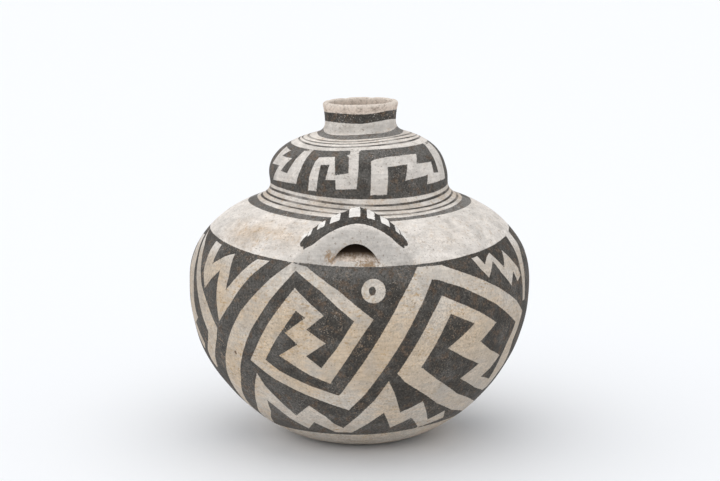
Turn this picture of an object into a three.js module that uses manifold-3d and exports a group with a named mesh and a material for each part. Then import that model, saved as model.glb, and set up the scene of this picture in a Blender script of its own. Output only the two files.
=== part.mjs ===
// A hollow pottery jar: a round belly, a smaller bulb stacked on its shoulder, a short neck with a
// rolled lip, and two pierced lugs facing each other across the shoulder. It is coil-built and fired
// as one piece, so it is one solid. Units are millimetres, +Z is up, and the origin is the middle of
// the foot, on the surface that the jar stands on. One lug faces -Y.
import * as THREE from "three";
import { mergeVertices } from "three/addons/utils/BufferGeometryUtils.js";
import Module from "manifold-3d";

const wasm = await Module();
wasm.setup();

// Walls
const wallThickness = 5;
const footThickness = 6;

// Foot: a flat standing ring around a shallow dimple
const footRadius = 45;
const dimpleRadius = 33;
const dimpleDepth = 3;

// Belly: its widest circle, and how quickly it swells out from the foot
const bellyRadius = 140;
const bellyHeight = 125;
const bellySwell = 0.7;

// Shoulder and bulb: each is a dome that would close on the axis at this rise above its widest circle
const shoulderRise = 86;
const bulbRadius = 73;
const bulbWallHeight = 12;
const bulbRise = 41;
const domeRoundness = 2.6;
const waistCove = 11;

// Neck and lip
const neckRadius = 29.3;
const neckLength = 23.5;
const neckCove = 8;
const neckCoveRise = 6.8;
const lipFlare = 1.8;

// Lugs: a ramp that climbs the shoulder to a ridge, a flat crest behind the ridge, and a steep back.
// The ridge arches across the lug, and its ends sag down the slope.
const lugWidth = 82;
const lugAboveBelly = 53;
const rampLength = 22.5;
const ridgePlace = 4.5;
const ridgeSag = 11;
const ridgeRise = 17;
const crestRise = 19.5;
const crestWidth = 17.5;
const crestTaper = 4;
const backSlope = 4;
const archPower = 1.7;
const archShoulder = 0.8;

// The tunnel through a lug, for a carrying cord
const tunnelWidth = 33;
const tunnelRise = 8.5;
const tunnelSideShift = 1.5;

// The root of a lug inside the wall, and how far its skin is sunk so that its thin edge dies away
const lugRoot = wallThickness / 2;
const lugSink = wallThickness / 6;

// Fineness of the facets
const segmentsAround = 60;
const bellySteps = 10;
const shoulderSteps = 8;
const bulbSteps = 7;
const coveSteps = 3;
const lipSteps = 5;
const insideSkip = 2;
const neckSteps = 3;
const dimpleSteps = 3;
const lugCellsAcross = 20;
const rampCells = 5;
const crestCells = 2;
const backCells = 1;
const tunnelCellsAlong = 10;
const tunnelSteps = 10;

// Above 1 the steps crowd towards the start of the curve, and below 1 towards its end
const bellyCrowding = 1.8;
const bulbCrowding = 0.75;
const floorGap = 1;
const weldGap = 1e-4;

const slip = new THREE.MeshStandardMaterial({ color: 0xcdc4ba, roughness: 0.85, metalness: 0 });

// Points from the first value to the last, in even steps.
const spread = (from, to, steps) =>
  Array.from({ length: steps + 1 }, (_, i) => from + ((to - from) * i) / steps);

// Radius of a dome at a height above its widest circle, and the height where it has a radius.
const domeRadius = (widest, rise, height) =>
  widest * Math.sqrt(1 - (height / rise) ** domeRoundness);
const domeHeight = (widest, rise, radius) =>
  rise * (1 - (radius / widest) ** 2) ** (1 / domeRoundness);

// A concave sweep from one point to another that leaves towards the corner between them.
const cove = (from, corner, to) =>
  new THREE.QuadraticBezierCurve(from, corner, to).getPoints(coveSteps).slice(1);

const waistHeight = bellyHeight + domeHeight(bellyRadius, shoulderRise, bulbRadius);
const bulbHeight = waistHeight + bulbWallHeight;
const neckHeight = bulbHeight + domeHeight(bulbRadius, bulbRise, neckRadius);
const lipRadius = wallThickness / 2;
const lipHeight = neckHeight + neckLength - lipRadius;

// The outside of the wall from the foot to just under the lip, as (radius, height) points.
function outsideProfile() {
  const swell = (share) =>
    footRadius + (bellyRadius - footRadius) * (1 - (1 - share) ** 2) ** bellySwell;
  // Closer steps near the foot, where the belly turns fastest.
  const belly = spread(0, 1, bellySteps).map((i) => {
    const share = i ** bellyCrowding;
    return new THREE.Vector2(swell(share), bellyHeight * share);
  });

  const coveStart = domeHeight(bellyRadius, shoulderRise, bulbRadius + waistCove);
  const shoulder = spread(0, 1, shoulderSteps).slice(1).map((i) => {
    const height = coveStart * i;
    return new THREE.Vector2(domeRadius(bellyRadius, shoulderRise, height), bellyHeight + height);
  });
  const waist = cove(
    shoulder.at(-1),
    new THREE.Vector2(bulbRadius, waistHeight),
    new THREE.Vector2(bulbRadius, waistHeight + waistCove),
  );

  const neckCoveStart = domeHeight(bulbRadius, bulbRise, neckRadius + neckCove);
  const bulb = spread(0, 1, bulbSteps).slice(1).map((i) => {
    const height = neckCoveStart * i ** bulbCrowding;
    return new THREE.Vector2(domeRadius(bulbRadius, bulbRise, height), bulbHeight + height);
  });
  const neckFoot = new THREE.Vector2(neckRadius, neckHeight + neckCoveRise);
  const throat = cove(bulb.at(-1), new THREE.Vector2(neckRadius, neckHeight), neckFoot);

  const flare = spread(0, 1, neckSteps).slice(1).map((i) => {
    const height = THREE.MathUtils.lerp(neckFoot.y, lipHeight, i);
    return new THREE.Vector2(neckRadius + lipFlare * i ** 2, height);
  });
  return [...belly, ...shoulder, ...waist, ...bulb, ...throat, ...flare];
}

const outside = outsideProfile();

// The unit normal of a profile at one of its points, pointing out of the jar.
function normalAt(profile, i) {
  const along = profile[Math.min(i + 1, profile.length - 1)].clone().sub(profile[Math.max(i - 1, 0)]);
  return new THREE.Vector2(along.y, -along.x).normalize();
}

// The inside of the wall, one thickness in from the outside, from under the lip down to the floor.
function insideProfile() {
  const floor = new THREE.Vector2(footRadius, footThickness);
  const wall = outside
    .map((point, i) => point.clone().addScaledVector(normalAt(outside, i), -wallThickness))
    .filter((point, i) => i % insideSkip === 1 && point.y > footThickness + floorGap);
  wall.push(new THREE.Vector2(neckRadius + lipFlare - wallThickness, lipHeight));
  return [...wall.reverse(), floor];
}

// The closed wall turned about the axis: dimple, foot, outside, lip, inside and floor.
function jarWall() {
  const dimple = spread(0, 1, dimpleSteps).map(
    (i) => new THREE.Vector2(dimpleRadius * i, dimpleDepth * (1 - i ** 2)),
  );
  const lipCentre = new THREE.Vector2(neckRadius + lipFlare - lipRadius, lipHeight);
  const lip = spread(0, Math.PI, lipSteps).slice(1, -1).map(
    (angle) =>
      new THREE.Vector2(
        lipCentre.x + lipRadius * Math.cos(angle),
        lipCentre.y + lipRadius * Math.sin(angle),
      ),
  );
  const middle = new THREE.Vector2(0, dimpleDepth + footThickness);
  const profile = [...dimple, ...outside, ...lip, ...insideProfile(), middle];
  return new THREE.LatheGeometry(profile, segmentsAround).rotateX(Math.PI / 2);
}

// Lengths along the outside, so that a lug can be laid on the curved shoulder.
const lengths = outside.reduce(
  (sums, point, i) => [...sums, i ? sums[i - 1] + point.distanceTo(outside[i - 1]) : 0],
  [],
);
const lugHeight = bellyHeight + lugAboveBelly;

// The point and normal of the outside at a length up the slope from the lug's middle.
function slopeAt(up) {
  const at = outside.findIndex((point) => point.y > lugHeight);
  const share = (lugHeight - outside[at - 1].y) / (outside[at].y - outside[at - 1].y);
  const length = THREE.MathUtils.lerp(lengths[at - 1], lengths[at], share) + up;
  const next = lengths.findIndex((sum) => sum > length);
  const part = (length - lengths[next - 1]) / (lengths[next] - lengths[next - 1]);
  const normal = normalAt(outside, next - 1).lerp(normalAt(outside, next), part).normalize();
  return { point: outside[next - 1].clone().lerp(outside[next], part), normal };
}

// Lays a geometry on the shoulder: x is across, y is up the slope, and z stands off the surface.
function layOnShoulder(geometry) {
  const place = geometry.attributes.position;
  const middleRadius = slopeAt(0).point.x;
  for (let i = 0; i < place.count; i++) {
    const { point, normal } = slopeAt(place.getY(i));
    const foot = point.addScaledVector(normal, place.getZ(i));
    const turn = place.getX(i) / middleRadius;
    place.setXYZ(i, foot.x * Math.sin(turn), -foot.x * Math.cos(turn), foot.y);
  }
  return geometry;
}

// A point of the lug's skin: how far up the slope it lies and how far it stands off the shoulder.
// The cells along the lug are shared out over its ramp, its crest and its back.
function lugSkin(across, cell) {
  const share = Math.min(Math.abs(across) / (lugWidth / 2), 1);
  const arch = (1 - share ** archPower) ** archShoulder;
  const ridge = ridgePlace - ridgeSag * share ** archPower;
  const crestEnd = ridge + crestWidth - crestTaper * share;
  if (cell <= rampCells) {
    const climbed = cell / rampCells;
    return { up: ridge - rampLength * (1 - climbed), rise: ridgeRise * arch * climbed };
  }
  if (cell <= rampCells + crestCells) {
    const crossed = (cell - rampCells) / crestCells;
    return {
      up: THREE.MathUtils.lerp(ridge, crestEnd, crossed),
      rise: arch * THREE.MathUtils.lerp(ridgeRise, crestRise, crossed),
    };
  }
  const dropped = (cell - rampCells - crestCells) / backCells;
  return { up: crestEnd + backSlope * dropped, rise: crestRise * arch * (1 - dropped) };
}

// A solid from a closed geometry, and a geometry from a solid.
function solidFrom(geometry) {
  const bare = geometry.deleteAttribute("normal").deleteAttribute("uv");
  const merged = mergeVertices(bare, weldGap);
  return new wasm.Manifold(
    new wasm.Mesh({
      numProp: 3,
      vertProperties: merged.attributes.position.array,
      triVerts: new Uint32Array(merged.index.array),
    }),
  );
}
function geometryFrom(solid) {
  const mesh = solid.getMesh();
  const geometry = new THREE.BufferGeometry();
  geometry.setAttribute("position", new THREE.BufferAttribute(mesh.vertProperties, 3));
  geometry.setIndex(new THREE.BufferAttribute(mesh.triVerts, 1));
  geometry.computeVertexNormals();
  return geometry;
}

// One lug: a block whose top is the lug's skin, rooted half-way into the wall, with its tunnel cut.
function lug() {
  const cells = rampCells + crestCells + backCells;
  const block = new THREE.BoxGeometry(lugWidth, cells, 1, lugCellsAcross, cells, 1);
  const place = block.attributes.position;
  for (let i = 0; i < place.count; i++) {
    const across = place.getX(i);
    const { up, rise } = lugSkin(across, Math.round(place.getY(i) + cells / 2));
    place.setXYZ(i, across, up, place.getZ(i) > 0 ? rise - lugSink : -lugRoot);
  }

  // The tunnel's floor stays just under the shoulder's surface, so that the shoulder is the floor.
  const mouth = new THREE.Shape();
  mouth.moveTo(tunnelWidth / 2, -lugRoot / 2);
  mouth.absellipse(0, 0, tunnelWidth / 2, tunnelRise, 0, Math.PI, false);
  mouth.lineTo(-tunnelWidth / 2, -lugRoot / 2);
  const tunnelStart = ridgePlace - rampLength - lugRoot;
  const tunnelLength = rampLength + crestWidth + backSlope + 2 * lugRoot;
  const tunnel = new THREE.ExtrudeGeometry(mouth, {
    depth: tunnelLength,
    steps: tunnelCellsAlong,
    bevelEnabled: false,
    curveSegments: tunnelSteps,
  });
  // The mouth is drawn across and up, so it is turned to run up the slope.
  tunnel.rotateX(Math.PI / 2).translate(tunnelSideShift, tunnelStart + tunnelLength, 0);

  return solidFrom(layOnShoulder(block)).subtract(solidFrom(layOnShoulder(tunnel)));
}

function jar() {
  const frontLug = lug();
  const backLug = frontLug.rotate([0, 0, 180]);
  const mesh = new THREE.Mesh(geometryFrom(solidFrom(jarWall()).add(frontLug).add(backLug)), slip);
  mesh.name = "jar";
  return mesh;
}

const part = new THREE.Group();
part.add(jar());

export default part;
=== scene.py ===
import math

import bpy
import numpy as np
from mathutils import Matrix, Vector, geometry, kdtree


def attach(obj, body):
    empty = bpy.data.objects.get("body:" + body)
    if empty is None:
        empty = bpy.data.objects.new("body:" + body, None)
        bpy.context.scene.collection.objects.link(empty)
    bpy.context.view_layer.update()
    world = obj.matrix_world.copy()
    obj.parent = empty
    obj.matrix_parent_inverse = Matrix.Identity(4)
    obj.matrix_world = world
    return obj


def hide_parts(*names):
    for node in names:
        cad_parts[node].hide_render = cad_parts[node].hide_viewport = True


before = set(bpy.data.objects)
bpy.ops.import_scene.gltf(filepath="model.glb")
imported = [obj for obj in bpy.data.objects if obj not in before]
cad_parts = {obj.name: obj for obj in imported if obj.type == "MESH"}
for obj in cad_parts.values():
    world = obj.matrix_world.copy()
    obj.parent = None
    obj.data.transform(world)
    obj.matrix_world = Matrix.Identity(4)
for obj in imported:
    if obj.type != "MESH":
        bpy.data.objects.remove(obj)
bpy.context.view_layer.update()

# The camera stands a little right of the front lug, well back with a longer lens, and looks down
# by ten degrees, as a catalogue photograph of a pot is taken.
camera_distance = 1.2625
camera_height = 0.37715
camera_side = math.radians(2)
camera_pitch = math.radians(9.76)
bpy.ops.object.select_all(action="DESELECT")
bpy.ops.object.camera_add(
    location=(
        camera_distance * math.sin(camera_side),
        -camera_distance * math.cos(camera_side),
        camera_height,
    ),
    rotation=(math.pi / 2 - camera_pitch, 0, camera_side),
)
camera = bpy.context.object
camera.name = "camera"
camera.data.sensor_width = 36
camera.data.lens = 77.63
camera.data.shift_x = 0.001
camera.data.clip_end = 100
bpy.context.scene.camera = camera
bpy.context.scene.view_settings.view_transform = "Standard"

# The jar is one hollow piece of coil-built clay: a round belly, a smaller bulb on its shoulder, a
# short neck, and a pierced lug on the front and on the back. It was scraped, covered with pale slip,
# painted in black and fired. Its sizes are in millimetres, and lengths up the wall start at the foot.
mm = 0.001
wall_thickness = 5.0
foot_thickness = 6.0
foot_radius = 45.0
dimple_radius = 33.0
dimple_depth = 3.0
belly_radius = 140.0
belly_height = 125.0
belly_swell = 0.7
shoulder_rise = 86.0
bulb_radius = 73.0
bulb_wall_height = 12.0
bulb_rise = 41.0
dome_roundness = 2.6
waist_cove = 11.0
neck_radius = 29.3
neck_length = 23.5
neck_cove = 8.0
lip_flare = 1.8


def dome_radius(widest, rise, height):
    return widest * np.sqrt(1 - (height / rise) ** dome_roundness)


def dome_height(widest, rise, radius):
    return rise * (1 - (radius / widest) ** 2) ** (1 / dome_roundness)


def cove(start, corner, end, share):
    share = share[:, None]
    points = [np.array(point) for point in (start, corner, end)]
    return (1 - share) ** 2 * points[0] + 2 * share * (1 - share) * points[1] + share**2 * points[2]


waist_height = belly_height + dome_height(belly_radius, shoulder_rise, bulb_radius)
bulb_height = waist_height + bulb_wall_height
neck_height = bulb_height + dome_height(bulb_radius, bulb_rise, neck_radius)
lip_radius = wall_thickness / 2
lip_height = neck_height + neck_length - lip_radius
lip_centre = neck_radius + lip_flare - lip_radius

# The outside of the wall as (radius, height) points, from the foot to the top of the lip.
share = np.linspace(0, 1, 90)
few = np.linspace(0, 1, 16)
belly_share = share**1.8
belly = np.column_stack(
    [
        foot_radius + (belly_radius - foot_radius) * (1 - (1 - belly_share) ** 2) ** belly_swell,
        belly_height * belly_share,
    ]
)
shoulder_steps = dome_height(belly_radius, shoulder_rise, bulb_radius + waist_cove) * share
shoulder = np.column_stack(
    [dome_radius(belly_radius, shoulder_rise, shoulder_steps), belly_height + shoulder_steps]
)
waist = cove(
    shoulder[-1], (bulb_radius, waist_height), (bulb_radius, waist_height + waist_cove), few
)
bulb_steps = dome_height(bulb_radius, bulb_rise, neck_radius + neck_cove) * share**0.75
bulb = np.column_stack([dome_radius(bulb_radius, bulb_rise, bulb_steps), bulb_height + bulb_steps])
neck_foot = neck_height + neck_cove * 0.85
throat = cove(bulb[-1], (neck_radius, neck_height), (neck_radius, neck_foot), few)
neck = np.column_stack([neck_radius + lip_flare * few**2, neck_foot + (lip_height - neck_foot) * few])
lip_angle = np.linspace(0, math.pi / 2, 12)
lip = np.column_stack(
    [lip_centre + lip_radius * np.cos(lip_angle), lip_height + lip_radius * np.sin(lip_angle)]
)
outside = np.vstack([belly, shoulder[1:], waist[1:], bulb[1:], throat[1:], neck[1:], lip[1:]])
lengths = np.concatenate([[0], np.cumsum(np.hypot(*np.diff(outside, axis=0).T))])
along = np.gradient(outside, axis=0)
normals = np.column_stack([along[:, 1], -along[:, 0]]) / np.hypot(*along.T)[:, None]


def wall_point(length, off=0.0):
    """The (radius, height) of a point at a length up the wall, standing off the outside."""
    point = [
        np.interp(length, lengths, on_wall) + off * np.interp(length, lengths, out_of_wall)
        for on_wall, out_of_wall in zip(outside.T, normals.T)
    ]
    return np.stack(point, axis=-1)


def place_at(radius, turn, height):
    """A place in the scene, turned round the axis from the front."""
    return (radius * math.sin(turn) * mm, -radius * math.cos(turn) * mm, height * mm)


# The lugs: a ramp climbs the shoulder to an arched ridge, with a flat crest and a steep back behind it.
lug_width = 82.0
lug_height = belly_height + 53.0
ramp_length = 22.5
ridge_place = 4.5
ridge_sag = 11.0
ridge_rise = 16.5
crest_rise = 19.0
crest_width = 17.5
crest_taper = 7.0
lug_lean = 3.5
back_slope = 4.0
arch_power = 1.7
arch_shoulder = 0.8
lug_length = np.interp(lug_height, outside[:, 1], lengths)
lug_radius = wall_point(lug_length)[0]


def lug_lines(across):
    """How high the lug arches, and where its ridge and the end of its crest lie up the slope."""
    leaned = across - lug_lean * np.maximum(1 - (across / (lug_width / 2)) ** 2, 0)
    share = np.minimum(np.abs(leaned) / (lug_width / 2), 1)
    ridge = ridge_place - ridge_sag * share**arch_power
    return (1 - share**arch_power) ** arch_shoulder, ridge, ridge + crest_width - crest_taper * share


def lug_rise(across, up):
    """Millimetres that the lug stands off the wall, and none beside it."""
    arch, ridge, crest_end = lug_lines(across)
    ramp = ridge_rise * (up - ridge + ramp_length) / ramp_length
    crest = ridge_rise + (crest_rise - ridge_rise) * (up - ridge) / (crest_end - ridge)
    back = crest_rise * (1 - (up - crest_end) / back_slope)
    skin = arch * np.minimum(np.minimum(ramp, crest), back) - wall_thickness / 6
    return np.maximum(skin, 0)


def lug_place(around, length):
    """Millimetres across the nearer lug and up the slope from its middle."""
    turn = (around + 90) % 180 - 90
    return np.radians(turn) * lug_radius, length - lug_length


# The painted design. Its outlines are (degrees round from the front, millimetres up the wall), and the
# same motif is painted on the back. White figures are slip left bare in the black ground.
double_spiral = [
    (-56, 75.7), (-46, 105), (-39.3, 133), (-34.2, 153.3), (-26, 180.5), (-18.7, 202.7), (-10, 188.4),
    (0.4, 166.2), (-5.3, 143.5), (-10.3, 127.5), (-15, 137), (-8.4, 148.5), (-14.4, 158.7), (-8.9, 170),
    (-18.3, 189.5), (-26.7, 162.7), (-34.2, 135), (-36.6, 127.3), (-28.3, 113), (-18, 100.4),
    (-7.2, 89.5), (-2, 84.4), (4, 102.6), (8.8, 121.7), (14.7, 146.6), (20.8, 174.8), (25.4, 195.3),
    (27.2, 195), (37, 186), (50.2, 170.2), (65.7, 148), (62.6, 133.3), (61, 119.7), (60.9, 98.5),
    (52.2, 105.6), (56, 112), (59.3, 122.5), (51, 131.7), (44.7, 141.4), (51.8, 154.2), (43, 166),
    (28.4, 182.7), (25.2, 170), (19.3, 143), (14.7, 122.4), (17.7, 113.8), (24, 103), (34, 85.6),
    (47, 70), (57.7, 62.3), (66, 55.5), (71, 51), (76, 60), (69, 67), (60.2, 74.5), (42.4, 92.7),
    (29.7, 113), (22.7, 126.3), (26.7, 145.4), (31.5, 168), (41.2, 157.4), (31.4, 140.4),
    (39.2, 129.8), (47.2, 120.9), (40, 109.8), (52.6, 93.8), (62.4, 85.2), (66.4, 86.8), (70.3, 106.5),
    (68, 131), (71.7, 154), (64.6, 166), (53, 181), (43.9, 191.4), (29.8, 205.7), (21.1, 205.7),
    (14.7, 181.7), (8.3, 153.6), (2.2, 128.4), (-4.5, 102.8), (-5.4, 101.1), (-15.2, 110),
    (-25.4, 121.6), (-30, 130), (-25, 148), (-17.7, 172.7), (-14.6, 167.6), (-21.5, 155),
    (-17.5, 146.4), (-24.4, 135.5), (-14.5, 120.3), (-7.8, 113.3), (-2.9, 131.8), (1.6, 150.3),
    (6.3, 167.5), (-3.9, 188), (-15.1, 206), (-20.6, 208.7), (-27.3, 194.5), (-38.2, 166.5),
    (-46.2, 138.5), (-54.4, 106.7), (-61.5, 73.8), (-66, 58), (-70, 47), (-63, 45), (-60, 58),
]
left_steps = [
    (-61, 215.5), (-55.5, 214), (-55.5, 197.5), (-49.3, 206.4), (-45.2, 209.8), (-44.4, 192.7),
    (-45, 180.8), (-40.4, 193.2), (-36.5, 203.5), (-34.1, 208.6), (-29.1, 208.4), (-35.2, 194),
    (-42.5, 171.6), (-49.1, 154.3), (-49.9, 171), (-49.7, 194.7), (-53.9, 186), (-57.8, 177.3),
    (-60.3, 190.6), (-61.2, 207),
]
bent_stripe = [
    (-78.9, 219.9), (-69, 208), (-64.8, 197), (-60.3, 178.6), (-54.5, 161), (-50.8, 148.2),
    (-52.6, 139), (-58.9, 118.6), (-61.9, 108), (-63.7, 106), (-65.8, 112.6), (-64.7, 121.8),
    (-60.2, 133.3), (-58.2, 142.1), (-60.4, 151.9), (-63.7, 168.3), (-67.1, 189.4), (-69.4, 198.4),
    (-73.5, 208.2),
]
far_stripe = [
    (-79.5, 214), (-75.8, 207.2), (-71.7, 198.2), (-70.7, 192.8), (-69.5, 182.6), (-69.2, 162.4),
    (-67.5, 152.5), (-66.2, 149.5), (-71.8, 142.6), (-68.6, 135), (-65.5, 127.5), (-68.5, 121),
    (-72.5, 128), (-76.5, 139), (-76.8, 150), (-77.5, 165), (-78.5, 182), (-80.5, 198), (-86, 212),
]
right_steps = [
    (43.1, 207.6), (46, 208.6), (48.1, 201.1), (50.2, 205.8), (52.9, 209.5), (58, 194.8),
    (59.8, 202.3), (61.2, 208.6), (63.8, 201.5), (68, 190.7), (69.2, 184.5), (65.8, 181.2),
    (63.3, 190.3), (60.8, 179.7), (55.5, 192), (52.6, 202.2), (48.4, 190.3), (45, 199.7),
]
right_stripe = [
    (72.5, 218.5), (79.4, 219.5), (79.2, 207), (75.2, 196), (73.8, 182.7), (73.4, 163), (70.8, 163),
    (70.2, 190),
]
lower_zigzag = [
    (-35.4, 115.9), (-33.9, 103), (-30.3, 88.5), (-26.1, 70.9), (-17.6, 87.2), (-12, 73.5),
    (-9.4, 64.3), (-5.5, 57.4), (1.5, 76.6), (7.4, 95.2), (12, 115.7), (14.9, 101), (18.7, 79.1),
    (24.5, 86.9), (26.9, 90.9), (29.4, 81.4), (35.1, 62.5), (42, 71.8), (46, 59.2), (32.9, 51.1),
    (25.2, 69.6), (16.8, 56.8), (11.9, 80.5), (5.9, 65.3), (-1.7, 49.7), (-10, 49), (-18.7, 64.1),
    (-24.4, 50.6), (-31, 65), (-37.1, 86.4), (-40.5, 69.7), (-50.2, 49.1), (-53, 44), (-60, 44),
    (-55.1, 58.7), (-47.7, 74.7), (-43.1, 88.5), (-39.3, 101.5),
]
side_lightning = [
    (86.5, 196), (91.5, 198), (97, 172), (89.5, 178), (97, 145), (89, 151), (96.5, 116), (88, 122),
    (94.5, 88), (87, 93), (91.5, 64), (84.5, 66), (81, 106), (89, 99), (81.5, 134), (90, 128),
    (82.5, 163), (91, 157),
]
bulb_key_left = [
    (-73.2, 312), (-73.9, 318.8), (-59.3, 316.4), (-64.7, 309.8), (-50.1, 309.1), (-52.7, 305.3),
    (-56.6, 297.6), (-49.5, 296.6), (-46.8, 304.7), (-44.8, 313.2), (-43.7, 317.9), (-35.8, 318.5),
    (-36.6, 312.5), (-38.1, 299.8), (-40.8, 289.2), (-57.5, 289.4), (-68.4, 288.8), (-63.3, 296.6),
    (-60.4, 301.6), (-73.8, 301.3), (-72.9, 304.6),
]
bulb_key_middle = [
    (-31.4, 285), (-25.3, 285), (-24.4, 293), (-23.6, 305.8), (-17.7, 306.5), (-18.4, 299),
    (-19.1, 294.3), (-12.7, 294.4), (-12.5, 287.1), (0.4, 287.7), (1.4, 302), (1.8, 320.1),
    (-4.7, 320.3), (-4.8, 317.2), (-6.8, 315.5), (-5.2, 314.1), (-4.6, 299.9), (-12.9, 298.1),
    (-15.1, 314), (-26.9, 312.8), (-28.5, 308.4), (-30.3, 295.8), (-30.9, 288.7),
]
bulb_key_right = [
    (8.7, 283), (19.1, 283), (20.6, 304.4), (35.5, 305.9), (31.7, 293), (51.2, 295.7),
    (49.7, 288.2), (74.5, 289.4), (75.7, 298.7), (79.3, 311.7), (83.6, 322.8), (68.3, 322),
    (64.9, 314.7), (64, 303.4), (64.1, 295.9), (57.9, 296.3), (58.6, 305.5), (42.9, 305.4),
    (47, 314.5), (36.6, 314.6), (20.2, 313.4), (12.8, 311.7), (9.8, 309.8),
]


def oval(middle, half_width, half_height, count=28):
    angles = [2 * math.pi * i / count for i in range(count)]
    return [
        (middle[0] + half_width * math.cos(angle), middle[1] + half_height * math.sin(angle))
        for angle in angles
    ]


eye_outer = oval((6.4, 188.9), 3.75, 9.1)
eye_inner = oval((6.05, 188.9), 1.1, 3.3)
belly_figures = [
    double_spiral, left_steps, bent_stripe, far_stripe, right_steps, right_stripe, lower_zigzag,
]
bulb_figures = [bulb_key_left, bulb_key_middle, bulb_key_right]
figures = belly_figures + [side_lightning] + bulb_figures + [eye_outer, eye_inner]

# Rings are drawn freehand, so each sways as it goes round: its height, then how much it sways.
body_top = (213.4, 6.7, -1.6, 0.5, 0.3)
body_bottom = (45.3, -0.8, 5.2, -1.2, -1.8)
bulb_top = (322.5, 1.4, 1.2, 0.4, 0.3)
bulb_bottom = (281.7, 2.1, -1.3, 0.2, 0.2)
shoulder_band_edges = ((255.1, 4.4, -0.7, -0.3, 0.5), (261.3, 5.6, -1.7, 0.3, 0))
neck_foot_edges = ((341.2, 4.1, 0.8, 0.6, 0.6), (348.8, 2.5, 1.2, 0.9, 0.2))
neck_edges = ((358.6, 0.4, 0.5, -0.5, -0.1), (366.3, 0.3, 0.3, -0.4, -0.3))
rings_below = (
    (266.1, 5.1, -2.5, 0, -0.3), (271.8, 3.8, -2.8, 0.3, -0.6), (277.4, 2.9, -1.9, -0.2, -0.2),
)
rings_above = (
    (328.6, 2.8, 1.4, 0.4, 0.4), (332.6, 1.7, 2.1, -0.3, 0.1), (336.7, 2.7, 2.3, -0.2, 0.2),
)


def wavy(shape, around):
    """The length up the wall of a freehand ring."""
    height, sway, lean, ripple, ripple_lean = shape
    angle = np.radians(around)
    swaying = lean * np.sin(2 * angle) - sway * np.cos(2 * angle)
    return height + swaying + ripple * np.cos(4 * angle) + ripple_lean * np.sin(4 * angle)


# The crest of each lug is black with white checks between round black ends.
check_ends = [(-35.2, -32.4), (-27.6, -22), (-18, -10.7), (-3.7, 4.9), (10, 16), (20.5, 27), (31.6, 35)]
crest_half = lug_width / 2
cap_across = 36.2
cap_up = 3.4
cap_radius = 4.8

# A tunnel for the carrying cord runs under each lug, on the surface of the shoulder.
tunnel_width = 33.0
tunnel_rise = 8.0
tunnel_shift = 1.5
tunnel_roundness = 0.8


def arch_height(across):
    share = np.clip(np.abs(across - tunnel_shift) / (tunnel_width / 2), 0, 1)
    return tunnel_rise * (1 - share**2) ** tunnel_roundness


def lug_outline(start, end, low, high, count):
    """A closed outline on a lug between two lines up the slope, as degrees and lengths up the wall."""
    steps = np.linspace(start, end, count)
    corners = [(across, low(across)) for across in steps]
    corners += [(across, high(across)) for across in steps[::-1]]
    return [(math.degrees(across / lug_radius), lug_length + up) for across, up in corners]


def ramp_line(across):
    return lug_lines(across)[1] - ramp_length


def ridge_line(across):
    return lug_lines(across)[1]


def crest_line(across):
    return lug_lines(across)[2]


def black_line(across):
    return ridge_line(across) + np.maximum(2.4 - 0.007 * (across - 2) ** 2, -4)


def check_line(across):
    return ridge_line(across) + 8.2 - 0.0016 * across**2


def mouth_line(across):
    """Where the tunnel's roof comes out through the ramp."""
    climb = (arch_height(across) + wall_thickness / 6) / (ridge_rise * lug_lines(across)[0])
    return ramp_line(across) + ramp_length * climb


def beyond_crest(distance):
    return lambda across: crest_line(across) + distance


mouth_half = 16.4
lug_half = crest_half - 0.7
check_inset = 0.3
lug_marks = [
    lug_outline(tunnel_shift - mouth_half, tunnel_shift + mouth_half, ramp_line, mouth_line, 24),
    lug_outline(-cap_across, cap_across, black_line, crest_line, 42),
    lug_outline(-cap_across, cap_across, check_line, beyond_crest(1.5), 42),
    lug_outline(-lug_half, lug_half, ramp_line, beyond_crest(back_slope), 42),
]
lug_marks += [
    lug_outline(start, end, check_line, beyond_crest(-check_inset), 5) for start, end in check_ends
]
for cap_side in (-cap_across, cap_across):
    cap_ring = oval((cap_side, ridge_line(cap_side) + cap_up), cap_radius, cap_radius, 14)
    lug_marks.append([(math.degrees(across / lug_radius), lug_length + up) for across, up in cap_ring])

# The outside is laid as a net of points about two millimetres apart, staggered row by row, and joined
# by triangles whose edges follow every painted outline and the ridges of the lugs. The net is worked
# out flat, with the height stretched where the wall is narrow so that its triangles keep their shape.
point_gap = 2.15
row_gap = point_gap * 0.87
least_gap = 0.62 * point_gap
line_gap = 2.3
wall_top = lengths[-len(lip)]
foot_points = 132
lip_points = 96
foot_seam = -100
lip_seam = -96
wall_radius = outside[:, 0]
middle_radius = (wall_radius[1:] + wall_radius[:-1]) / 2
flat_heights = np.concatenate([[0], np.cumsum(np.diff(lengths) / middle_radius)])


def seam_at(length):
    """Degrees from the front where the flat net meets itself, clear of every painted figure."""
    return np.interp(length, (230, 280), (foot_seam, lip_seam))


def laid_flat(around, length):
    return np.column_stack([np.radians(around), np.interp(length, lengths, flat_heights)])


def walk(outline, shift):
    """Points along a closed outline in even steps, with every corner kept."""
    corners = np.array(outline, float)
    steps = []
    for start, end in zip(corners, np.roll(corners, -1, axis=0)):
        radius = np.interp((start[1] + end[1]) / 2, lengths, wall_radius)
        reach = math.hypot(math.radians(end[0] - start[0]) * radius, end[1] - start[1])
        count = max(1, round(reach / line_gap))
        steps += [start + (end - start) * i / count for i in range(count)]
    return np.array(steps) + (shift, 0)


flat_points = []
flat_edges = []


def lay_line(points, closed):
    first = len(flat_points)
    flat_points.extend(laid_flat(points[:, 0], points[:, 1]))
    count = len(points)
    ends = range(count if closed else count - 1)
    flat_edges.extend((first + i, first + (i + 1) % count) for i in ends)


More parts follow.
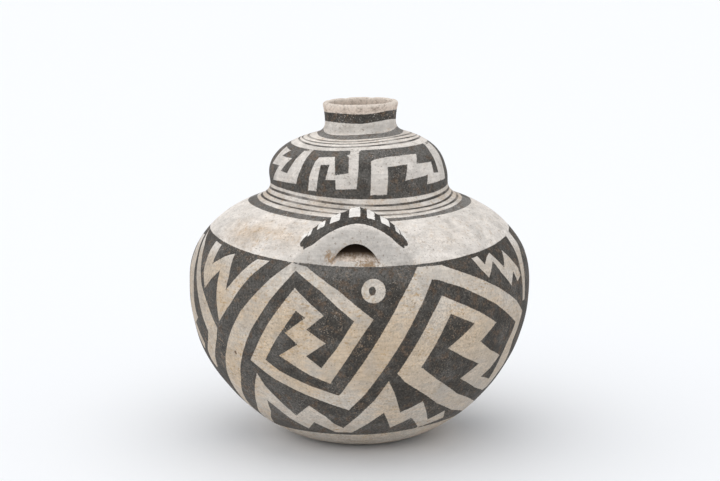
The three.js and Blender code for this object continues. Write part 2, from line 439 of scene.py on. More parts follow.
net_rows = np.linspace(0, wall_top, round(wall_top / row_gap) + 1)
for turns in (0, 360):
    lay_line(np.column_stack([seam_at(net_rows) + turns, net_rows]), False)
for height, count in ((0, foot_points), (wall_top, lip_points)):
    ring = seam_at(height) + 360 * np.arange(count + 1) / count
    lay_line(np.column_stack([ring, np.full(count + 1, height)]), False)
for shift in (0, 180):
    for outline in figures + lug_marks:
        line = walk(outline, shift)
        if (line[:, 0] > seam_at(line[:, 1]) + 360).any():
            line[:, 0] -= 360
        lay_line(line, True)

# Two rings pass close by the figures, so their edges are laid too, to keep the thin black between.
ring_turn = np.linspace(1.5, 358.5, 161)
for shape, step in ((body_top, 0), (body_top, -1.2), (bulb_bottom, 0), (bulb_bottom, 1)):
    ring_around = seam_at(shape[0]) + ring_turn
    lay_line(np.column_stack([ring_around, wavy(shape, ring_around) + step]), False)

# Net points that would crowd a line are left out.
line_tree = kdtree.KDTree(len(flat_points))
for i, point in enumerate(flat_points):
    line_tree.insert((point[0], point[1], 0), i)
line_tree.balance()
for row, height in enumerate(net_rows[1:-1]):
    radius = np.interp(height, lengths, wall_radius)
    count = round(2 * math.pi * radius / point_gap)
    ring = seam_at(height) + 360 * (np.arange(count) + 0.5 * (row % 2)) / count
    flat = laid_flat(ring, np.full(count, height))
    flat_points.extend(
        point for point in flat if line_tree.find((point[0], point[1], 0))[2] * radius > least_gap
    )

merge_gap = 1e-5
laid = geometry.delaunay_2d_cdt(
    [Vector(point) for point in flat_points], flat_edges, [], 1, merge_gap
)
net = np.array([(point.x, point.y) for point in laid[0]])
faces = np.array([face for face in laid[2] if len(face) == 3])
net_around = np.degrees(net[:, 0])
net_length = np.interp(net[:, 1], flat_heights, lengths)


paint_reach = 12.0


def outside_distance(outline, turn, length):
    """Millimetres along the wall from each point to an outline, negative inside it."""
    corners = np.array(outline, float)
    low = corners.min(0) - paint_reach
    high = corners.max(0) + paint_reach
    near = np.flatnonzero(
        (turn > low[0]) & (turn < high[0]) & (length > low[1]) & (length < high[1])
    )
    scale = np.radians(np.interp(length[near], lengths, wall_radius))
    x = turn[near] * scale
    y = length[near]
    nearest = np.full(len(near), paint_reach)
    within = np.zeros(len(near), bool)
    for (ax, ay), (bx, by) in zip(corners, np.roll(corners, -1, axis=0)):
        ax = ax * scale
        bx = bx * scale
        share = ((x - ax) * (bx - ax) + (y - ay) * (by - ay)) / ((bx - ax) ** 2 + (by - ay) ** 2)
        share = np.clip(share, 0, 1)
        miss = np.hypot(x - ax - share * (bx - ax), y - ay - share * (by - ay))
        nearest = np.minimum(nearest, miss)
        edge = ax + (y - ay) / (by - ay if by != ay else 1) * (bx - ax)
        within ^= ((ay > y) != (by > y)) & (x < edge)
    distance = np.full(len(turn), paint_reach)
    distance[near] = np.where(within, -nearest, nearest)
    return distance


def fold(around):
    """The front and the back carry the same motif, so both are read from -90 to 90 degrees."""
    return (around + 90) % 180 - 90


def beside_lines(around, length):
    """Millimetres from each point to the nearest painted outline or mark on a lug."""
    nearest = np.full(len(around), paint_reach)
    for outline in figures + lug_marks:
        for turn in (fold(around), around % 180):
            nearest = np.minimum(nearest, np.abs(outside_distance(outline, turn, length)))
    return nearest


# A triangle with all its corners on outlines gets a point in its middle, so that its paint is known.
on_line = beside_lines(net_around, net_length) < 0.03
closed_in = on_line[faces].all(axis=1)
middles = net[faces[closed_in]].mean(axis=1)
middle_names = len(net) + np.arange(len(middles))
net = np.vstack([net, middles])
corner_pairs = ((0, 1), (1, 2), (2, 0))
split = [np.column_stack([faces[closed_in][:, pair], middle_names]) for pair in corner_pairs]
faces = np.vstack([faces[~closed_in]] + split)
net_around = np.degrees(net[:, 0])
net_length = np.interp(net[:, 1], flat_heights, lengths)
across, up = lug_place(net_around, net_length)
raised = wall_point(net_length, lug_rise(across, up))
outward = np.column_stack([np.sin(np.radians(net_around)), -np.cos(np.radians(net_around))])
shell_points = np.column_stack([outward * raised[:, :1], raised[:, 1]])
shell_mesh = bpy.data.meshes.new("painted_jar")
shell_mesh.from_pydata((shell_points * mm).tolist(), [], faces.tolist())
jar = bpy.data.objects.new("painted_jar", shell_mesh)
bpy.context.scene.collection.objects.link(jar)

# The lip and the inside are spun from one half section, and the foot ring with its dimple from another.
lip_inside_angle = np.linspace(math.pi / 2, math.pi, 5)
lip_round = np.append(lip_angle[::3], lip_inside_angle[1:])
lip_section = np.column_stack(
    [lip_centre + lip_radius * np.cos(lip_round), lip_height + lip_radius * np.sin(lip_round)]
)
inside = wall_point(np.linspace(wall_top - 3, 22, 40), -wall_thickness)
inside = inside[inside[:, 1] > foot_thickness + 1]
inside_floor = [(foot_radius, foot_thickness), (0, dimple_depth + foot_thickness)]
dimple_share = np.linspace(0, 1, 5)
dimple = np.column_stack([dimple_radius * dimple_share, dimple_depth * (1 - dimple_share**2)])
spun_sections = {
    "lip_and_inside": (np.vstack([lip_section, inside, inside_floor]), lip_seam, lip_points),
    "foot": (np.vstack([dimple, [(foot_radius, 0)]]), foot_seam, foot_points),
}
bpy.ops.object.select_all(action="DESELECT")
for name, (section, start, count) in spun_sections.items():
    section_points = [place_at(radius, math.radians(start), height) for radius, height in section]
    section_edges = [(i, i + 1) for i in range(len(section) - 1)]
    section_mesh = bpy.data.meshes.new(name)
    section_mesh.from_pydata(section_points, section_edges, [])
    spun = bpy.data.objects.new(name, section_mesh)
    bpy.context.scene.collection.objects.link(spun)
    bpy.ops.object.select_all(action="DESELECT")
    spun.select_set(True)
    bpy.context.view_layer.objects.active = spun
    bpy.ops.object.mode_set(mode="EDIT")
    bpy.ops.mesh.select_all(action="SELECT")
    bpy.ops.mesh.spin(steps=count, angle=2 * math.pi, center=(0, 0, 0), axis=(0, 0, 1))
    bpy.ops.object.mode_set(mode="OBJECT")
    jar.select_set(True)
    bpy.context.view_layer.objects.active = jar
    bpy.ops.object.join()
bpy.ops.object.mode_set(mode="EDIT")
bpy.ops.mesh.select_all(action="SELECT")
bpy.ops.mesh.remove_doubles(threshold=0.000002)
bpy.ops.mesh.normals_make_consistent(inside=False)
bpy.ops.object.mode_set(mode="OBJECT")


def read_points(mesh):
    points = np.empty(len(mesh.vertices) * 3)
    mesh.vertices.foreach_get("co", points)
    return points.reshape(-1, 3) / mm


def write_points(mesh, points):
    mesh.vertices.foreach_set("co", (points * mm).ravel())
    mesh.update()


def locate(points):
    """Each point's degrees round from the front, length up the wall, and distance off the outside."""
    around = np.degrees(np.arctan2(points[:, 0], -points[:, 1]))
    flat = np.column_stack([np.hypot(points[:, 0], points[:, 1]), points[:, 2]])
    starts = outside[:-1]
    steps = np.diff(outside, axis=0)
    length = np.empty(len(flat))
    off = np.empty(len(flat))
    batch = 8000
    for first in range(0, len(flat), batch):
        part = flat[first : first + batch]
        reach = part[:, None, :] - starts[None]
        share = np.clip((reach * steps).sum(2) / (steps**2).sum(1), 0, 1)
        gap = reach - share[:, :, None] * steps[None]
        distance = np.hypot(gap[:, :, 0], gap[:, :, 1])
        best = distance.argmin(1)
        pick = np.arange(len(part))
        length[first : first + batch] = lengths[best] + share[pick, best] * np.diff(lengths)[best]
        side = steps[best, 0] * gap[pick, best, 1] - steps[best, 1] * gap[pick, best, 0]
        off[first : first + batch] = -np.sign(side) * distance[pick, best]
    return around, length, off


# The ridge and the edges of each lug are softened by the potter's wet hand.
skin_depth = 0.5
soft_across = 43
soft_from = -33
soft_to = 29
points = read_points(jar.data)
around, length, off = locate(points)
across, up = lug_place(around, length)
near_lug = (off > -skin_depth) & (np.abs(across) < soft_across) & (up > soft_from) & (up < soft_to)
jar.data.vertices.foreach_set("select", near_lug)
jar.data.edges.foreach_set("select", np.zeros(len(jar.data.edges), bool))
jar.data.polygons.foreach_set("select", np.zeros(len(jar.data.polygons), bool))
bpy.ops.object.mode_set(mode="EDIT")
bpy.ops.mesh.select_mode(type="VERT")
bpy.ops.mesh.vertices_smooth(factor=0.5, repeat=1)
bpy.ops.mesh.select_all(action="DESELECT")
bpy.ops.object.mode_set(mode="OBJECT")

# The tunnels are cut through both lugs, a hair's breadth above the wall, and run out past each lug.
tunnel_clear = 0.05
tunnel_overrun = 2.5
tunnel_ends = (
    ridge_place - ramp_length - tunnel_overrun,
    ridge_place + crest_width + back_slope + tunnel_overrun,
)
tunnel_across = tunnel_width / 2 * np.cos(np.linspace(0, math.pi, 33))
tunnel_floor = np.linspace(-tunnel_width / 2, tunnel_width / 2, 17)[1:-1]
mouth = [(across, tunnel_clear + arch_height(across)) for across in tunnel_shift + tunnel_across]
mouth += [(across, tunnel_clear) for across in tunnel_shift + tunnel_floor]
stations = np.linspace(*tunnel_ends, 16)
count = len(mouth)
last_row = (len(stations) - 1) * count
tunnel_faces = [
    (row + i, row + (i + 1) % count, row + count + (i + 1) % count, row + count + i)
    for row in range(0, last_row, count)
    for i in range(count)
]
tunnel_faces += [tuple(range(count)), tuple(range(last_row, last_row + count))]
for side in (0, math.pi):
    tunnel_points = []
    for station in stations:
        for across, rise in mouth:
            radius, height = wall_point(lug_length + station, rise)
            tunnel_points.append(place_at(radius, across / lug_radius + side, height))
    tunnel_mesh = bpy.data.meshes.new("tunnel")
    tunnel_mesh.from_pydata(tunnel_points, [], tunnel_faces)
    tunnel = bpy.data.objects.new("tunnel", tunnel_mesh)
    bpy.context.scene.collection.objects.link(tunnel)
    bpy.ops.object.select_all(action="DESELECT")
    tunnel.select_set(True)
    bpy.context.view_layer.objects.active = tunnel
    bpy.ops.object.mode_set(mode="EDIT")
    bpy.ops.mesh.select_all(action="SELECT")
    bpy.ops.mesh.normals_make_consistent(inside=False)
    bpy.ops.object.mode_set(mode="OBJECT")
    bpy.ops.object.select_all(action="DESELECT")
    jar.select_set(True)
    bpy.context.view_layer.objects.active = jar
    cut = jar.modifiers.new("tunnel", "BOOLEAN")
    cut.operation = "DIFFERENCE"
    cut.solver = "EXACT"
    cut.object = tunnel
    bpy.ops.object.modifier_apply(modifier=cut.name)
    bpy.data.objects.remove(tunnel)

# What is painted where: millimetres inside the black (above zero) or outside it (below zero).
tunnel_skin = 0.8
points = read_points(jar.data)
around, length, off = locate(points)
across, up = lug_place(around, length)
turn = fold(around)
outer = off > -skin_depth
underside = (points[:, 2] < 4) & (np.hypot(points[:, 0], points[:, 1]) < foot_radius - 0.5)
skin_rise = lug_rise(across, up)
in_tunnel = outer & (skin_rise > tunnel_skin) & (off < skin_rise - tunnel_skin)
in_tunnel &= np.abs(across - tunnel_shift) < tunnel_width / 2 + 0.3
in_tunnel &= (off < arch_height(across) + 0.5) & (up > tunnel_ends[0]) & (up < tunnel_ends[1])


def band(low, high):
    """Millimetres inside a band between two rings."""
    return np.minimum(length - wavy(low, around), wavy(high, around) - length)


body_black = band(body_bottom, body_top)
for figure in belly_figures:
    body_black = np.minimum(body_black, outside_distance(figure, turn, length))
body_black = np.minimum(body_black, outside_distance(side_lightning, around % 180, length))
eye_black = outside_distance(eye_outer, turn, length)
eye_black = np.maximum(eye_black, -outside_distance(eye_inner, turn, length))
body_black = np.minimum(body_black, eye_black)
bulb_black = band(bulb_bottom, bulb_top)
for figure in bulb_figures:
    bulb_black = np.minimum(bulb_black, outside_distance(figure, turn, length))
bands_black = [band(*edges) for edges in (shoulder_band_edges, neck_foot_edges, neck_edges)]

ridge = ridge_line(across)
crest_end = crest_line(across)
checks = np.maximum.reduce([np.minimum(across - start, end - across) for start, end in check_ends])
checks = np.minimum(checks, np.minimum(up - check_line(across), crest_end - check_inset - up))
crest_black = np.minimum(up - black_line(across), crest_end + 0.4 - up)
crest_black = np.minimum(crest_black, cap_across - np.abs(across))
cap_middle = ridge_line(np.sign(across) * cap_across) + cap_up
cap = cap_radius - np.hypot(np.abs(across) - cap_across, up - cap_middle)
crest_black = np.minimum(np.maximum(crest_black, cap), -checks)
beside_lug = (np.abs(across) < 45) & (np.abs(up) < 30)
crest_black = np.where(beside_lug, crest_black, -paint_reach)
painted = np.maximum.reduce([body_black, bulb_black, crest_black] + bands_black)
painted = np.where(in_tunnel | ~outer | underside, -paint_reach, painted)
off_lug = (np.abs(across) > crest_half) | (up < ridge - ramp_length) | (up > crest_end + back_slope)
ringed = np.where(outer & ~underside & off_lug, 1, 0)


def line_count(lines):
    """Counts up by one at each of the given rings, so that each ring is a whole number."""
    usual_gap = 6.5
    stack = np.stack([wavy(line, around) for line in lines])
    count = np.full(len(length), 0.4)
    count = np.where(length > stack[0] - 4, 1 + (length - stack[0]) / usual_gap, count)
    for i in range(len(lines) - 1):
        step = (length - stack[i]) / (stack[i + 1] - stack[i])
        count = np.where(length > stack[i], 1 + i + step, count)
    count = np.where(length > stack[-1], len(lines) + (length - stack[-1]) / usual_gap, count)
    return np.clip(count, 0.4, len(lines) + 0.6)


lines_below = line_count(rings_below)
lines_above = line_count(rings_above)

# Where the slip was never laid or has worn away the bare clay shows: the lip and the top of the neck,
# the inside, and the tunnels. Soil has stayed in the tunnels and spills out below them, and farther
# into each tunnel the clay is painted near black as painted shade.
bare = np.where(outer & ~underside, np.clip((length - wavy(neck_edges[1], around)) / 3 + 0.6, 0, 1), 1)
bare = np.where(in_tunnel, 1, bare)
# The top of the lip is paler, partly worn and partly a painted highlight.
lip_wear_and_highlight = np.clip((points[:, 2] - lip_height) / lip_radius + 0.3, 0, 1)
inner = np.where(outer, 0, np.clip((271.5 - points[:, 2]) / 2, 0, 1))
spill = 0.75 * np.exp(-(((across - 11) / 7) ** 2) - ((up + 19) / 5) ** 2)
spill += 0.75 * np.exp(-(((across + 17) / 4) ** 2) - ((up + 13) / 5) ** 2)
spill += 0.35 * np.exp(-(((across - 2) / 16) ** 2) - ((up + 18) / 3) ** 2)
rim_gap = np.clip(off - arch_height(across), 0, 20)
rim_soil = (0.42 - 0.012 * across) * np.exp(-((rim_gap / 2.2) ** 2))
spill += rim_soil * (off > tunnel_skin) * (np.abs(across - tunnel_shift) < 19)
floor_soil = 0.3 + 0.5 * np.clip((up + 15) / 6, 0, 1)
soil = np.where(in_tunnel, np.where(off < 0.4, floor_soil, 1.2), np.where(outer, spill, 0))
# Painted shade: farther into each tunnel, roof and floor go near black.
tunnel_shade = np.where(in_tunnel, np.clip((up + np.where(off < 0.4, 13.5, 17.5)) / 5.5, 0, 1), 0)


def cloud(place, height, width, rise):
    """A soft patch on the wall, one in its middle: degrees, length up the wall, and half its size."""
    return np.exp(-(((turn - place) / width) ** 2) - ((length - height) / rise) ** 2)


# The slip is whiter above the figures, and its cream is uneven below.
belly = np.clip((212 - length) / 10, 0, 1)
cream = 0.15 + 0.65 * np.exp(-(((length - 130) / 45) ** 2)) + 0.6 * cloud(-64, 185, 16, 35)
cream += 0.3 * cloud(-26, 160, 12, 25) - 0.6 * cloud(-28, 85, 16, 22) - 0.3 * cloud(0, 85, 12, 22)
cream += 0.25 * cloud(28, 120, 22, 40) - 0.35 * cloud(35, 195, 50, 22) - 0.25 * cloud(0, 195, 30, 25)
# Warm tan over the slip is mostly stain. The ring of it round the waist cove, just behind the lugs, is
# painted shade.
tan_stain_and_shade = np.exp(-(((length - 272) / 11) ** 2)) + 0.45 * np.exp(-(((length - 337) / 6) ** 2)) + 0.3 * belly
tan_stain_and_shade += 0.9 * cloud(-40, 230, 20, 14) + 0.7 * np.exp(-(((length - 353) / 5) ** 2))
tan_stain_and_shade += 0.2 * cloud(-42, 232, 22, 16) + 0.4 * cloud(50, 232, 26, 12) + 0.5 * cloud(2, 246, 16, 8)
# Greyer paint where it wore thin or ran dry: the shoulder and neck-foot bands, the bulb, the lower
# belly and a patch below each lug. The two patches on the left of the belly are painted light.
faded_and_lit = np.clip(bands_black[0] + 2, 0, 1) * (0.72 + 0.28 * np.sin(np.radians(turn)))
faded_and_lit += np.clip(bands_black[1] + 2, 0, 1) + 0.45 * np.clip((length - 303) / 12, 0, 1) * (length < 325)
faded_and_lit += 0.2 * (length > 280) * (length < 303) + 0.25 * np.clip((95 - length) / 40, 0, 1)
faded_and_lit += 0.5 * cloud(0, 203, 22, 9) + 0.35 * cloud(-35, 80, 18, 20) + 0.2 * cloud(-45, 160, 25, 60)
# Grey over the slip, partly grime and partly painted shade: round the waist and the foot of the neck,
# towards the foot, over the bulb, down both sides and to the lower right of the belly, and on each
# lug's steep ramp face.
shade_and_grime = 0.5 * np.exp(-(((length - 353) / 5) ** 2)) + 0.22 * np.exp(-(((length - 272) / 10) ** 2))
shade_and_grime += 0.25 * np.clip((48 - length) / 20, 0, 1)
shade_and_grime += 0.18 * (length > 280) * (length < 325)
shade_and_grime += 0.55 * cloud(-66, 185, 12, 45) + 0.45 * cloud(50, 105, 26, 40) + 0.35 * cloud(72, 170, 14, 45)
shade_and_grime += 0.2 * cloud(22, 100, 18, 25)
# On the lugs only the steep ramp face below the crest is greyed, as painted shade.
ramp_face = np.clip(np.minimum(up - ridge + ramp_length, black_line(across) - up) / 4, 0, 1)
shade_and_grime = np.where(off_lug | in_tunnel, shade_and_grime, 0.62 * ramp_face)
# The crest tops of the lugs are whitened, partly as whiter slip and partly as a painted highlight.
crest_white_and_highlight = np.where(off_lug, 0, np.clip((up - ridge - 2) / 3, 0, 1))
wall_fields = {
    "painted": painted,
    "lines_below": lines_below,
    "lines_above": lines_above,
    "ringed": ringed,
    "bare": bare,
    "lip_wear_and_highlight": lip_wear_and_highlight,
    "inner": inner,
    "soil": soil,
    "tunnel_shade": tunnel_shade,
    "belly": belly,
    "cream": np.clip(cream, 0, 1),
    "tan_stain_and_shade": np.clip(tan_stain_and_shade, 0, 1),
    "faded_and_lit": np.clip(faded_and_lit, 0, 1),
    "shade_and_grime": np.clip(shade_and_grime, 0, 1),
    "crest_white_and_highlight": crest_white_and_highlight,
}
for name, values in wall_fields.items():
    wall_field = jar.data.attributes.new(name, "FLOAT", "POINT")
    wall_field.data.foreach_set("value", values.astype(np.float32))

# A coiled wall is never quite true: it wanders by half a millimetre, the neck leans, the lip slopes
# down to the front, and the lugs have sagged. Places are pressed in or bulge out (degrees, height,
# half width, half height, how far in), and old chips dent the lip (degrees, half width, depth).
angle = np.radians(around)
wander = (
    0.3 * np.sin(2 * angle + 0.9 + length / 90)
    + 0.15 * np.sin(3 * angle - 0.4 - length / 60)
    + 0.12 * np.sin(5 * angle + length / 37)
    + 0.08 * np.sin(length / 4.6 + 2 * np.sin(angle + 1))
)
wander *= np.clip(points[:, 2] / 20, 0, 1) * np.clip((262 - points[:, 2]) / 60, 0.3, 1)
pressed = [
    (90, 225, 60, 11, 1.7), (90, 205, 60, 8, 1.0), (-90, 205, 60, 8, 1.2), (90, 170, 60, 14, 1.1),
    (-90, 170, 60, 14, 0.9), (-90, 72, 50, 18, -1.2), (-90, 222, 60, 12, -0.8),
]
for place, height, width, rise, depth in pressed:
    gap = (around - place + 180) % 360 - 180
    wander -= depth * np.exp(-((gap / width) ** 2) - ((points[:, 2] - height) / rise) ** 2)
neck_share = np.clip((points[:, 2] - 240) / 12, 0, 1)
wander -= 0.5 * neck_share
points[:, :2] += np.column_stack([np.sin(angle), -np.cos(angle)]) * wander[:, None]
points[:, 0] += 1.0 * neck_share
points[:, 2] -= 0.9 * np.cos(angle) * np.clip((points[:, 2] - 255) / 18, 0, 1)
points[:, 2] += (0.3 + 0.6 * np.sin(angle)) * np.clip((points[:, 2] - 235) / 12, 0, 1)
points[:, 2] -= 1.5 * np.clip((off - 9) / 7, 0, 1) * (np.abs(across) < 45)
lip_zone = np.clip((points[:, 2] - lip_height) / lip_radius, 0, 1)
lip_chips = [
    (-152, 5, 0.5), (-115, 4, 0.35), (163, 6, 0.5), (121, 4, 0.35), (-31, 3, 0.3), (43, 3, 0.35),
]
for place, width, depth in lip_chips:
    gap = (around - place + 180) % 360 - 180
    points[:, 2] -= depth * np.exp(-((gap / width) ** 4)) * lip_zone
write_points(jar.data, points)
bpy.ops.object.shade_smooth_by_angle(angle=math.radians(50))

# Fired clay finish: pale slip with warm stains and pits, and worn black paint over it.
finish = bpy.data.materials.new("painted_slip")
finish.use_nodes = True
nodes = finish.node_tree.nodes
links = finish.node_tree.links
nodes.clear()


def add(kind, settings=None, **inputs):
    """A node with its settings and inputs, where i0, i1 and so on are the inputs by place."""
    node = nodes.new(kind)
    for name, value in (settings or {}).items():
        setattr(node, name, value)
    for name, value in inputs.items():
        by_place = name[0] == "i" and name[1:].isdigit()
        socket = node.inputs[int(name[1:]) if by_place else name]
        if isinstance(value, bpy.types.NodeSocket):
            links.new(value, socket)
        else:
            socket.default_value = value
    return node


def calc(operation, first, second=0.0, third=0.0):
    return add("ShaderNodeMath", {"operation": operation}, i0=first, i1=second, i2=third).outputs[0]


def field(name):
    return add("ShaderNodeAttribute", {"attribute_name": name}).outputs["Fac"]


def grain(scale, detail=2.0, roughness=0.5, stretch=(1, 1, 1), shift=0.0):
    mapping = add("ShaderNodeMapping", i0=coordinates, i1=(shift, shift, shift), i3=stretch)
    return add(
        "ShaderNodeTexNoise", Vector=mapping.outputs[0], Scale=scale, Detail=detail, Roughness=roughness
    ).outputs["Fac"]


def swing(noise, amount):
    """A noise that lies around a half, made to swing about zero."""
    return calc("MULTIPLY", calc("SUBTRACT", noise, 0.5), amount)


def ramp(value, low, high, start=0.0, end=1.0):
    """A soft step from the start value to the end value between two levels."""
    settings = {"interpolation_type": "SMOOTHSTEP"}
    return add("ShaderNodeMapRange", settings, i0=value, i1=low, i2=high, i3=start, i4=end).outputs[0]


def tint(mask, under, over):
    return add("ShaderNodeMix", {"data_type": "RGBA"}, i0=mask, i6=under, i7=over).outputs[2]


def shade(colour, value, amount):
    """Lighten and darken a colour by a noise that lies around a half."""
    factor = calc("MULTIPLY_ADD", calc("SUBTRACT", value, 0.5), amount, 1.0)
    return add("ShaderNodeVectorMath", {"operation": "SCALE"}, Vector=colour, Scale=factor).outputs[0]


coordinates = add("ShaderNodeTexCoord").outputs["Object"]
slip_white = (0.80, 0.745, 0.69, 1)
slip_bright_highlight = (0.90, 0.87, 0.83, 1)
slip_cream = (0.60, 0.485, 0.36, 1)
slip_blush = (0.63, 0.575, 0.51, 1)
slip_grey = (0.41, 0.385, 0.355, 1)
stain_tan = (0.52, 0.36, 0.21, 1)
stain_ochre = (0.42, 0.26, 0.105, 1)
pit_brown = (0.20, 0.14, 0.095, 1)
clay_tan = (0.748, 0.632, 0.539, 1)
clay_dark = (0.33, 0.255, 0.20, 1)
clay_worn_and_highlit = (0.76, 0.68, 0.60, 1)
soil_brown = (0.33, 0.225, 0.14, 1)
tunnel_shadow_black = (0.030, 0.016, 0.008, 1)
paint_black = (0.046, 0.041, 0.035, 1)
paint_grey = (0.21, 0.20, 0.187, 1)
paint_brown = (0.115, 0.078, 0.053, 1)
worn_brown = (0.27, 0.19, 0.125, 1)

# Brushed edges waver by a fraction of a millimetre.
brush_waver = swing(grain(110, 2), 0.6)
brush_fray = swing(grain(900, 2, shift=0.3), 0.9)
waver = calc("ADD", brush_waver, brush_fray)
painted_mask = ramp(calc("ADD", field("painted"), waver), -0.22, 0.22)


ring_gap = 5.6


def ring_mask(name, half_width):
    """Black wherever the count of the rings is a whole number."""
    step = calc("ABSOLUTE", calc("SUBTRACT", calc("FRACT", calc("ADD", field(name), 0.5)), 0.5))
    distance = calc("ADD", calc("MULTIPLY", step, ring_gap), calc("MULTIPLY", waver, 0.5))
    shown = ramp(field("ringed"), 0.4, 0.6)
    return calc("MULTIPLY", ramp(distance, half_width - 0.3, half_width + 0.3, 1.0, 0.0), shown)


brush_load = ramp(grain(45, 3, shift=1.7), 0.3, 0.6, 0.5, 1.0)
upper_faint = ramp(field("lines_above"), 2.3, 2.8, 1.0, 0.8)
rings_above = calc("MULTIPLY", ring_mask("lines_above", 1.0), upper_faint)
rings = calc("MULTIPLY", calc("MAXIMUM", ring_mask("lines_below", 0.95), rings_above), brush_load)
painted_cover = calc("MAXIMUM", painted_mask, rings)

# Paint wears off in pin specks, in patches, and in a few larger flakes.
worn_patches = ramp(grain(21, 3, 0.6, shift=4.1), 0.45, 0.66)
specks = ramp(grain(950, 3, 0.6, shift=2.3), 0.60, 0.67)
fine_specks = calc("MULTIPLY", specks, calc("ADD", calc("MULTIPLY", worn_patches, 0.6), 0.22))
flakes = calc("MULTIPLY", ramp(grain(300, 5, 0.68, shift=6.7), 0.575, 0.64), worn_patches)
cover = calc("MULTIPLY", painted_cover, calc("SUBTRACT", 1.0, calc("MULTIPLY", fine_specks, 0.75)))

# Slip: cream on the belly and whiter above, streaked where it was wiped round, with tan and ochre
# stains, grey smudges, hairlines and pits. Painted shade tans and greys it in places, and a painted
# highlight whitens the lug crests.
speckle = grain(650, 3, 0.7, shift=18.0)
streaks = grain(75, 4, 0.65, stretch=(1, 1, 6), shift=13.0)
mottle = grain(120, 4, 0.6, shift=14.0)
hair = calc("ABSOLUTE", calc("SUBTRACT", grain(55, 4, 0.55, shift=19.0), 0.5))
hair_patches = ramp(grain(30, 2, shift=20.0), 0.48, 0.6)
hairlines = calc("MULTIPLY", ramp(hair, 0.002, 0.009, 1.0, 0.0), hair_patches)
cream_noise = calc("ADD", calc("MULTIPLY", grain(24, 3, 0.55), 2.2), calc("MULTIPLY", streaks, 1.4))
cream_mask = calc("ADD", field("cream"), calc("SUBTRACT", cream_noise, 1.8))
belly_slip = tint(ramp(cream_mask, 0.0, 1.0), slip_blush, slip_cream)
slip = tint(field("belly"), slip_white, belly_slip)
# Tan stains, with painted shade in the waist cove, warm the slip.
tan_stain_and_shade_mask = calc("MULTIPLY", field("tan_stain_and_shade"), ramp(grain(30, 4, 0.62, shift=9.0), 0.38, 0.66))
slip = tint(calc("MULTIPLY", tan_stain_and_shade_mask, 0.55), slip, stain_tan)
spots = ramp(grain(230, 4, 0.65, shift=11.0), 0.54, 0.66)
spot_share = calc("MULTIPLY_ADD", field("tan_stain_and_shade"), 0.5, 0.18)
slip = tint(calc("MULTIPLY", spots, spot_share), slip, stain_tan)
ochre_patch = ramp(grain(28, 3, shift=17.0), 0.42, 0.58)
ochre = calc("MULTIPLY", ramp(grain(280, 4, 0.7, (1, 1, 2), 16.0), 0.53, 0.64), ochre_patch)
slip = tint(calc("MULTIPLY", calc("MULTIPLY", ochre, field("belly")), 0.7), slip, stain_ochre)
smudge = ramp(grain(50, 5, 0.65, shift=12.0), 0.46, 0.7, 0.0, 0.42)
slip = tint(smudge, slip, slip_grey)
# Painted shade, with some grime, greys the slip.
slip = tint(field("shade_and_grime"), slip, slip_grey)
# Whiter slip and a painted highlight on the lug crests.
slip = tint(calc("MULTIPLY", field("crest_white_and_highlight"), 0.8), slip, slip_bright_highlight)
coarse = calc("MULTIPLY_ADD", field("belly"), 0.25, 0.45)
coarse = calc("MULTIPLY", coarse, ramp(grain(18, 2, shift=25.0), 0.35, 0.65, 0.6, 1.4))
slip_grain = calc("MULTIPLY_ADD", calc("SUBTRACT", speckle, 0.5), coarse, 0.5)
slip = shade(shade(shade(slip, streaks, 0.6), mottle, 0.5), slip_grain, 1.4)
pits = ramp(grain(520, 3, 0.6, shift=15.0), 0.62, 0.68)
slip = tint(calc("MULTIPLY", pits, 0.55), slip, pit_brown)
slip = tint(calc("MULTIPLY", hairlines, 0.22), slip, pit_brown)

# Bare clay on the lip, the inside and the tunnels, paler on top of the lip as wear and as a painted
# highlight.
clay = tint(ramp(grain(150, 5, 0.65, shift=21.0), 0.5, 0.72), clay_tan, clay_dark)
clay = tint(calc("MULTIPLY", field("lip_wear_and_highlight"), 0.75), clay, clay_worn_and_highlit)
clay = tint(calc("MULTIPLY", field("inner"), 0.25), clay, clay_dark)
clay = tint(ramp(grain(330, 4, 0.6, shift=23.0), 0.58, 0.66, 0.0, 0.7), clay, clay_dark)
clay = shade(clay, speckle, 0.9)
bare_edge = swing(grain(300, 4, 0.6, shift=24.0), 1.2)
bare_mask = ramp(calc("ADD", field("bare"), bare_edge), 0.3, 0.7)
ground = tint(bare_mask, slip, clay)
soil_grain = swing(grain(600, 4, 0.7, shift=27.0), 2.2)
soil_mask = ramp(calc("ADD", field("soil"), soil_grain), 0.3, 0.95)
ground = tint(soil_mask, ground, soil_brown)
# Painted shade darkens the clay to near black farther into the tunnels.
ground = tint(field("tunnel_shade"), ground, tunnel_shadow_black)

# Paint: dense black where the brush was full, greyer where it ran dry and on the left of the belly as
# painted light, and brown where it has rubbed.
paint = tint(ramp(grain(60, 4, 0.6, shift=30.0), 0.42, 0.72, 0.0, 0.3), paint_black, paint_grey)
paint = tint(field("faded_and_lit"), paint, paint_grey)
paint = tint(ramp(grain(150, 5, 0.65, shift=33.0), 0.50, 0.66, 0.0, 0.75), paint, paint_brown)
paint = tint(calc("MULTIPLY", flakes, 0.8), paint, worn_brown)
paint = shade(shade(paint, speckle, 3.0), mottle, 0.9)
paint = tint(calc("MULTIPLY", hairlines, 0.3), paint, worn_brown)
colour = tint(cover, ground, paint)

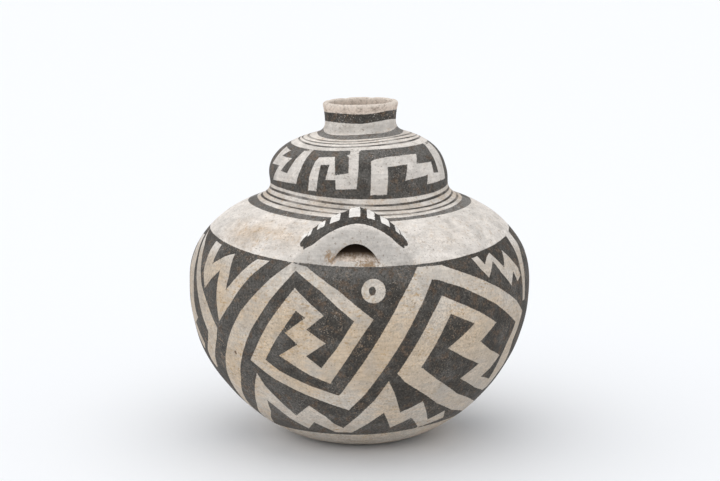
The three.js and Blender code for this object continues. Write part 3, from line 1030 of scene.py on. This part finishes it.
# A few old knocks have left brown hollows in the slip: degrees, length up the wall, radius and depth.
knocks = [
    (-43.2, 131.3, 1.5, 1.0), (-35.0, 169.5, 1.5, 0.35), (-57, 121, 1.0, 0.5), (31, 187, 0.9, 0.5),
    (52, 172, 1.1, 0.4),
]
hollows = 0.0
for place, height, size, depth in knocks:
    radius, rise = wall_point(height)
    knock = place_at(radius, math.radians(place), rise)
    gap = add("ShaderNodeVectorMath", {"operation": "DISTANCE"}, i0=coordinates, i1=knock)
    uneven = calc("ADD", gap.outputs["Value"], swing(grain(700, 3, shift=place), 0.003))
    hollow = ramp(uneven, size * mm * 0.7, size * mm * 1.2, depth, 0.0)
    hollows = calc("MAXIMUM", hollows, hollow)
colour = tint(hollows, colour, pit_brown)

surface = calc("MULTIPLY", grain(650, 4, 0.6, shift=36.0), 0.5)
surface = calc("ADD", surface, calc("MULTIPLY", grain(130, 3, 0.5, shift=39.0), 0.9))
surface = calc("SUBTRACT", surface, calc("MULTIPLY", pits, 0.5))
surface = calc("SUBTRACT", surface, calc("MULTIPLY", hollows, 1.5))
bump = add("ShaderNodeBump", Strength=0.5, Distance=0.0007, Height=surface)
roughness = calc("ADD", calc("MULTIPLY", grain(260, 3, 0.5, shift=42.0), 0.2), 0.66)
shader = add("ShaderNodeBsdfPrincipled")
shader.inputs["Specular IOR Level"].default_value = 0.3
links.new(colour, shader.inputs["Base Color"])
links.new(roughness, shader.inputs["Roughness"])
links.new(bump.outputs["Normal"], shader.inputs["Normal"])
links.new(shader.outputs[0], add("ShaderNodeOutputMaterial").inputs["Surface"])

jar.data.materials.clear()
jar.data.materials.append(finish)
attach(jar, "root")
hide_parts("jar")

# The studio: a pale seamless floor under a broad overhead softbox, with white walls all round.
bpy.ops.object.select_all(action="DESELECT")
bpy.ops.mesh.primitive_plane_add(size=60, location=(0, 0, 0))
floor_sheet = bpy.context.object
floor_sheet.name = "studio_floor"
floor_finish = bpy.data.materials.new("studio_floor")
floor_finish.use_nodes = True
floor_shader = floor_finish.node_tree.nodes["Principled BSDF"]
floor_shader.inputs["Base Color"].default_value = (0.925, 0.935, 0.955, 1)
floor_shader.inputs["Roughness"].default_value = 0.9
floor_shader.inputs["Specular IOR Level"].default_value = 0.1
floor_sheet.data.materials.append(floor_finish)

studio = bpy.data.worlds.new("studio")
studio.use_nodes = True
studio.node_tree.nodes["Background"].inputs["Color"].default_value = (0.97, 0.985, 1.0, 1)
studio.node_tree.nodes["Background"].inputs["Strength"].default_value = 0.66
bpy.context.scene.world = studio

bpy.ops.object.light_add(type="SUN", rotation=(math.radians(6), math.radians(-14), 0))
overhead = bpy.context.object
overhead.name = "overhead_softbox"
overhead.data.energy = 1.35
overhead.data.angle = math.radians(110)
